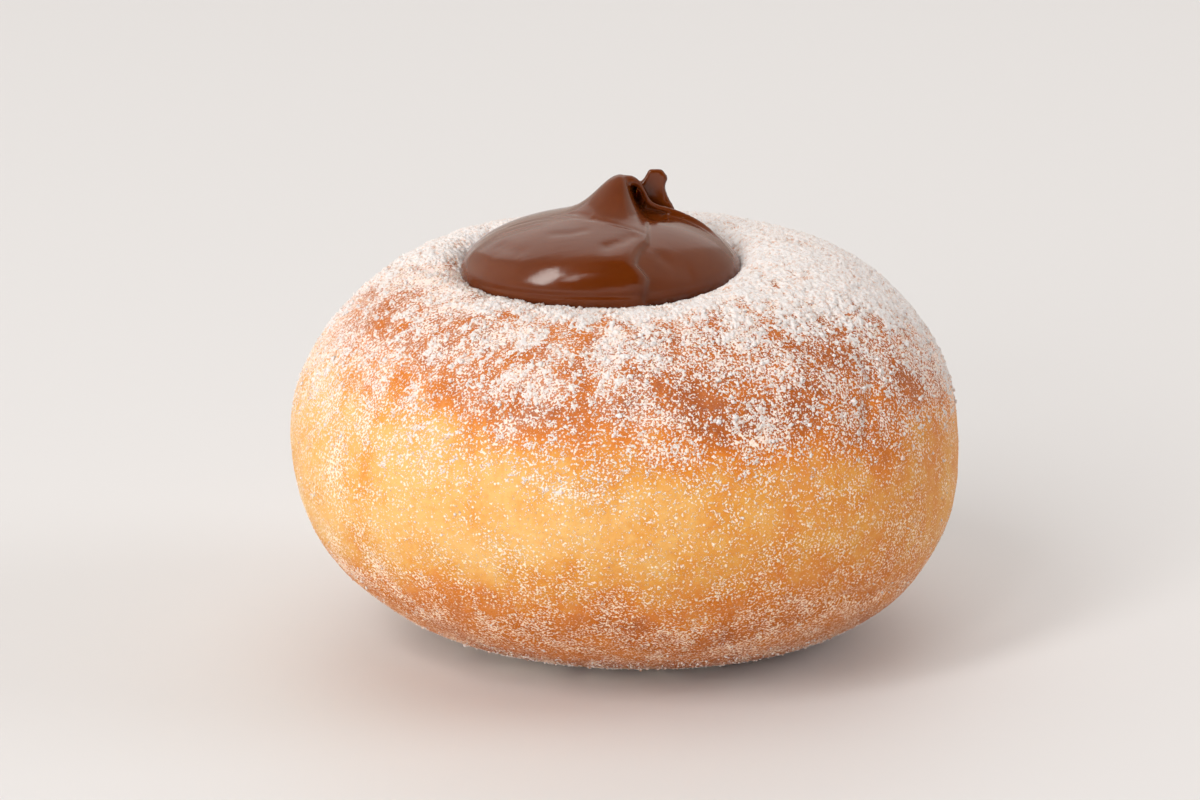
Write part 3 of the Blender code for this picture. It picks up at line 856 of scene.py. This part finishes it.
def fold_swell(place):
    """How far the front lobe swells out at a place: most beside the fold's line, nothing to its right."""
    ys, xs, strengths = zip(*FOLD_LINE)
    to_fold = np.interp(place.y / MM, ys, xs) * MM - place.x
    if to_fold < 0:
        return 0.0
    rounding = math.sqrt(1 - (1 - min(to_fold / FOLD_ROUNDING, 1)) ** 2)
    fading = math.exp(-max(to_fold - FOLD_ROUNDING, 0) / FOLD_REACH)
    return FOLD_HEIGHT * rounding * fading * np.interp(place.y / MM, ys, strengths)


def outline_share(way):
    """How wide the dome's outline is in a direction, as a share of its ellipse."""
    turn = math.degrees(math.atan2(way.y, way.x))
    bulges = (more * math.exp(-(((turn - at) / spread) ** 2)) for more, at, spread in CREAM_OUTLINE_WAVES)
    return 1 + sum(bulges)


def add_dome(bm):
    made = bmesh.ops.create_icosphere(bm, subdivisions=7, radius=1.0)
    for vertex in made["verts"]:
        way = vertex.co.copy()
        tall = CREAM_DOME_HEIGHT if way.z > 0 else CREAM_ROOT_DEPTH
        wide = outline_share(way)
        vertex.co = CREAM_CENTRE + way * Vector((CREAM_HALF_WIDTH * wide, CREAM_HALF_DEPTH * wide, tall))
        vertex.co += way * fold_swell(vertex.co)
        if way.z > 0:
            vertex.co.z += peak_lift(vertex.co)


def settled_mesh(item):
    """The object's mesh with its modifiers applied, as new data. The object itself is removed."""
    made = bpy.data.meshes.new_from_object(item.evaluated_get(bpy.context.evaluated_depsgraph_get()))
    bpy.data.objects.remove(item)
    return made


def tail_mesh():
    curve = bpy.data.curves.new("tail", "CURVE")
    curve.dimensions = "3D"
    curve.bevel_depth = MM
    curve.bevel_resolution = 6
    curve.use_fill_caps = True
    spline = curve.splines.new("NURBS")
    spline.points.add(len(TAIL) - 1)
    for point, (x, y, z, radius) in zip(spline.points, TAIL):
        point.co = (x * MM, y * MM, z * MM, 1.0)
        point.radius = radius
    spline.order_u = 3
    spline.use_endpoint_u = True
    return settled_mesh(place_object("tail", curve))


def add_slit_back(bm):
    """A lump of cream behind the slit between the peak and the tail, so that no light comes through."""
    made = bmesh.ops.create_icosphere(bm, subdivisions=4, radius=1.0)
    for vertex in made["verts"]:
        vertex.co = SLIT_BACK_CENTRE + vertex.co * SLIT_BACK_RADII


def flap_mesh():
    heights, lefts, rights = (np.array(values) * MM for values in zip(*FLAP_EDGES))
    bm = bmesh.new()
    rows = []
    for height in np.linspace(heights[0], heights[-1], FLAP_STEPS + 1):
        edges = [np.interp(height, heights, side) for side in (lefts, rights)]
        across = np.linspace(*edges, FLAP_STEPS + 1)
        away = FLAP_BACK.y - FLAP_CURVE * (across - FLAP_BACK.x) ** 2
        rows.append([bm.verts.new((x, y, height)) for x, y in zip(across, away)])
    for low, high in zip(rows, rows[1:]):
        for j in range(FLAP_STEPS):
            bm.faces.new((low[j], low[j + 1], high[j + 1], high[j]))
    mesh = bpy.data.meshes.new("flap")
    bm.to_mesh(mesh)
    bm.free()
    sheet = place_object("flap", mesh)
    solidify = sheet.modifiers.new("thickness", "SOLIDIFY")
    solidify.thickness = FLAP_THICKNESS
    solidify.offset = 0.0
    return settled_mesh(sheet)


CREAM_VOXEL = 0.22 * MM
CREAM_SMOOTHING = 9

bm = bmesh.new()
add_dome(bm)
add_slit_back(bm)
bm.from_mesh(tail_mesh())
bm.from_mesh(flap_mesh())
parts_mesh = bpy.data.meshes.new("cream_parts")
bm.to_mesh(parts_mesh)
bm.free()
melting = place_object("cream_parts", parts_mesh)
remesh = melting.modifiers.new("melt", "REMESH")
remesh.mode = "VOXEL"
remesh.voxel_size = CREAM_VOXEL
smooth = melting.modifiers.new("soften", "SMOOTH")
smooth.iterations = CREAM_SMOOTHING
cream_mesh = settled_mesh(melting)
print("cream melted into", len(cream_mesh.polygons), "faces")

# %% [markdown]
# ## Wrinkles, and the seat in the dimple
#
# The skin of the cream wrinkled a little where it was pulled. The wrinkles are shallow grooves along
# drawn lines. Then everything of the dollop that is below the crust is lifted on to it, so the underside
# takes the form of the dimple, as it does on the real bun.

# %% Finish the cream's shape
WRINKLES = (
    # depth and half width in mm, then the line as (x, y) in mm, seen from above
    (0.05, 0.35, ((-9.0, -2.6), (-6.2, -4.0), (-4.6, -5.6))),
    (0.07, 0.40, ((-6.8, -3.8), (-3.6, -7.1), (-1.3, -8.3), (2.0, -9.7))),
    (0.06, 0.45, ((-14.2, -3.0), (-11.0, -3.2), (-7.6, -4.6), (-4.2, -6.8))),
    (0.06, 0.50, ((-15.6, -5.5), (-12.8, -6.0), (-10.8, -5.8))),
    (0.09, 0.80, ((-8.8, -9.6), (-6.8, -10.0), (-5.2, -9.6))),
    (0.18, 1.00, ((-2.2, -13.6), (-0.4, -12.6), (0.8, -11.2))),
    (0.14, 0.90, ((4.6, -12.8), (6.0, -13.0), (7.6, -12.4))),
    (0.10, 0.90, ((-13.0, -12.0), (-14.4, -10.4), (-15.2, -9.0))),
)
CREASE = ((-18.6, -6.6), (-16.4, -11.2), (-13.0, -14.0), (-8.0, -15.6), (-2.2, -16.2), (0.6, -15.7))
CREASE_HEIGHT = 0.50 * MM
CREASE_REACH = 2.2 * MM
CREASE_ROUNDING = 0.40 * MM
PIT_CENTRE = (1.55, 0.6, 56.6)  # the gap between the peak and the tail, in mm
PIT_AXES = np.array(((0.95, -0.85), (0.62, 0.35)))  # one over its half widths, turned to its lean
PIT_REACH = 2.5  # mm, from front to back
PIT_DEPTH = 2.8 * MM
BASE_BAND = (0.12, 48.4, 0.35)  # mm: depth, height and half width of the line round the lobe's foot
SEAT_SUNK = 0.12 * MM


def from_path(places, path):
    """Distance in plan from every place to a line of (x, y) points in mm."""
    x, y = places[:, 0], places[:, 1]
    points = [(a * MM, b * MM) for a, b in path]
    pairs = zip(points, points[1:])
    return np.min([off_segment(x - a[0], y - a[1], b[0] - a[0], b[1] - a[1]) for a, b in pairs], axis=0)


vertices = cream_mesh.vertices
cream_places, cream_normals = (np.array([getattr(v, what) for v in vertices]) for what in ("co", "normal"))
x, y, z = cream_places.T  # columns of the same array, so they follow every change to it
for depth, half_width, path in WRINKLES:
    groove = depth * MM * np.exp(-((from_path(cream_places, path) / (half_width * MM)) ** 2))
    cream_places -= cream_normals * (groove * ease(cream_normals[:, 2] / 0.5))[:, None]

beyond = np.hypot(from_path(cream_places, CREASE), CREASE_ROUNDING) - CREASE_ROUNDING
crease = CREASE_HEIGHT * np.exp(-beyond / CREASE_REACH) * ease((z - 47.5 * MM) / (3 * MM))
cream_places += cream_normals * crease[:, None]

pit = np.linalg.norm((cream_places - np.array(PIT_CENTRE) * MM)[:, (0, 2)] @ PIT_AXES / MM, axis=1)
close = np.abs(y / MM - PIT_CENTRE[1]) < PIT_REACH
in_pit = np.exp(-(pit**4)) * close * (cream_normals[:, 1] < 0.3)
y += PIT_DEPTH * in_pit

depth, band_height, half_width = BASE_BAND
band = depth * MM * np.exp(-(((z / MM - band_height) / half_width) ** 2))
in_front = ease((-8 * MM - y) / (4 * MM)) * ease((3 * MM - x) / (3 * MM))
cream_places -= cream_normals * (band * in_front)[:, None]

seat_rows, _ = crust_strip(1.75, 2.99, 0.5 * MM, 0.8 * MM)
seat_x, seat_y, seat_z = (seat_rows + to_centre).reshape(-1, 3).T
tree_of_seat = KDTree(len(seat_x))
for i, flat_place in enumerate(zip(seat_x, seat_y)):
    tree_of_seat.insert((*flat_place, 0), i)
tree_of_seat.balance()
for i in np.flatnonzero(z < 51 * MM):  # the highest place of the seat is lower than that
    found = tree_of_seat.find_n((x[i], y[i], 0), 3)
    weights = np.array([1 / (distance + 1e-6) for _, _, distance in found])
    seat = float(np.dot(weights, [seat_z[j] for _, j, _ in found]) / weights.sum()) - SEAT_SUNK
    z[i] = max(z[i], seat)
vertices.foreach_set("co", cream_places.astype(np.float32).ravel())
cream_mesh.update()
# How far each vertex lies in the slit, which the material darkens with painted shade.
store(cream_mesh, "pit", in_pit)
print("cream is", round((z.max() - z.min()) / MM, 2), "mm tall")

# %% [markdown]
# ## Cocoa cream
#
# It is a paste of sugar, oil, hazelnut and cocoa, squeezed out and left as it fell. The oil makes its
# skin smooth and glossy, with soft-edged reflections. Under the gloss it is a warm milk-chocolate brown,
# and thin edges let a little light through. A clear coat could give the gloss, but here the paste itself
# is glossy, so a low roughness is enough, and noise breaks it up.

# %% Material of the cream
cocoa_cream = bpy.data.materials.new("squeezed_cocoa_cream")
add = empty_tree(cocoa_cream)
place = add("TexCoord").outputs["Object"]
# Slow streaks 4 mm apart: fat and cocoa never mix quite evenly.
streaks = add("TexNoise", {"Vector": place, "Scale": per_mm(4.0), "Detail": 2.0})
tint = add("Mix", {0: streaks, 6: "582507", 7: "652D0A"}, data_type="RGBA")
# The slit beside the peak is so deep that it looks nearly black, so shade is painted into its colour there.
painted_slit_shade = add("Attribute", attribute_name="pit").outputs["Fac"]
tint = add("Mix", {0: painted_slit_shade, 6: tint, 7: "160602"}, data_type="RGBA")
ripple = add("TexNoise", {"Vector": place, "Scale": per_mm(1.1), "Detail": 2.0})
gloss = add("MapRange", {0: ripple, 3: 0.13, 4: 0.22})
rippled = add("Bump", {"Height": ripple, "Distance": 0.05 * MM, "Strength": 0.25})
# Drag lines 0.9 mm apart, long from left to right: the nozzle and its drips pulled the skin that way.
pulled = add("Mapping", {"Vector": place, "Rotation": (0, 0, -0.25), "Scale": (0.12, 1.0, 0.6)})
lines = add("TexNoise", {"Vector": pulled, "Scale": per_mm(0.9), "Detail": 2.0})
dragged = add("Bump", {"Height": lines, "Normal": rippled, "Distance": 0.05 * MM, "Strength": 0.35})
shader = add("BsdfPrincipled", {
    "Base Color": tint, "Roughness": gloss, "Normal": dragged, "IOR": 1.47, "Subsurface Weight": 0.18,
    "Subsurface Radius": (1.0, 0.4, 0.15), "Subsurface Scale": 0.8 * MM,
})
add("OutputMaterial", {"Surface": shader})
cream_mesh.materials.clear()
cream_mesh.materials.append(cocoa_cream)
cream_mesh.shade_smooth()
cream_dollop = place_object("cream_dollop", cream_mesh)
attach(cream_dollop, "root")
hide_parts("cocoa_cream")
print("cream:", len(cream_mesh.polygons), "faces")

# %% [markdown]
# ## Clumps and grains
#
# Loose sugar lies on the crust in clumps up to about a millimetre across and in grains that stand
# proud. A particle system would scatter them, but then they would not be a mesh. Here small blobs are
# copied with numpy into one mesh for each kind, and the sugar's share says where there are more.

# %% Scatter the loose sugar
GRAIN_LIFT = 0.22  # of its thickness, from the crust to its middle
OFF_THE_FLOOR = 0.02 * MM


def blob(subdivisions, roughness, seed):
    """A small lumpy ball about 1 across, as (corners, triangles)."""
    bm = bmesh.new()
    bmesh.ops.create_icosphere(bm, subdivisions=subdivisions, radius=0.5)
    shift = Vector((seed, 0, 0))
    corners = np.array([v.co * (1 + roughness * noise.noise(v.co * 3 + shift)) for v in bm.verts])
    triangles = np.array([[v.index for v in face.verts] for face in bm.faces])
    bm.free()
    return corners, triangles


def random_spots(rng, count, density):
    """Places and normals picked on the crust, more of them where density is high."""
    beside = np.roll(crust_places, -1, axis=1)
    cell = np.cross(beside[:-1] - crust_places[:-1], crust_places[1:] - crust_places[:-1])
    weight = (np.linalg.norm(cell, axis=2) * density[:-1]).ravel()
    picked = rng.choice(len(weight), count, p=weight / weight.sum())
    row, column = np.divmod(picked, crust_places.shape[1])
    u, v = rng.random((2, count, 1))
    low, high = (crust_places[r, column] * (1 - u) + beside[r, column] * u for r in (row, row + 1))
    return low * (1 - v) + high * v, crust_normals[row, column]


def scatter(name, shapes, sizes, spots, outward, seed):
    """One mesh with a shape at every spot, turned at random, flattened and sunk by about a quarter."""
    rng = np.random.default_rng(seed)
    count = len(spots)
    spin = rng.normal(size=(count, 3))
    side = np.cross(outward, spin)
    side /= np.linalg.norm(side, axis=1, keepdims=True)
    other = np.cross(outward, side)
    frames = np.stack((side, other, outward), axis=1)
    stretch = sizes[:, None] * rng.uniform((0.8, 0.8, 0.55), (1.25, 1.25, 0.9), (count, 3))
    choice = rng.integers(len(shapes), size=count)
    places, triangles, start = [], [], 0
    for kind, (corners, faces) in enumerate(shapes):
        chosen = np.flatnonzero(choice == kind)
        scaled = corners[None] * stretch[chosen][:, None]
        turned = np.einsum("nki,nij->nkj", scaled, frames[chosen])
        middle = spots[chosen] + outward[chosen] * (stretch[chosen, 2:] * GRAIN_LIFT)
        places.append((turned + middle[:, None]).reshape(-1, 3))
        first = start + np.arange(len(chosen)) * len(corners)
        triangles.append((faces[None] + first[:, None, None]).reshape(-1, 3))
        start += len(chosen) * len(corners)
    places, triangles = np.concatenate(places), np.concatenate(triangles)
    places[:, 2] = np.maximum(places[:, 2], OFF_THE_FLOOR)
    # Grains low on the bun count as thin, so the sugar's material tints them with painted warm light
    # bounced from the crust.
    sugar_piece(name, places, triangles, 1 - ease((places[:, 2] / MM - 26) / 8))


# Where it lies, by height in mm: clumps on the shoulder, dust lower down, and grains round the foot too.
height = crust_places[..., 2] / MM
gathered = 0.35 + 2 * np.clip(noise_at(crust_places, 2.4 * MM, 61.0), 0, 1)
shoulder = crust_sugar * (1 - 0.7 * crust_sugar) * ease((height - 26) / 8) * ease((48.8 - height) / 2)
lower = crust_dust**1.5 * gathered * ease((39 - height) / 8) * ease((height - 0.4) / 0.8)
foot = 0.22 * ease((7 - height) / 3) * ease((height - 0.6) / 0.8)
clump_shapes = [blob(2, 0.9, seed) for seed in range(6)]
grain_shapes = [blob(1, 0.5, seed) for seed in range(4)]
LOOSE_SUGAR = (
    # name, shapes, usual size in mm, how much sizes vary, largest in mm, how many, where, seed
    ("sugar_clumps", clump_shapes, 0.38, 0.38, 0.72, 1200, shoulder, 8),
    ("sugar_grains", grain_shapes, 0.20, 0.34, math.inf, 7000, shoulder + 0.12 * lower + foot, 9),
    ("sugar_dust", grain_shapes, 0.12, 0.35, math.inf, 6000, lower, 10),
)
rng = np.random.default_rng(7)
for name, shapes, usual, varied, largest, count, density, seed in LOOSE_SUGAR:
    spots, outward = random_spots(rng, count, density)
    sizes = np.minimum(usual * MM * rng.lognormal(0, varied, count), largest * MM)
    scatter(name, shapes, sizes, spots, outward, seed)
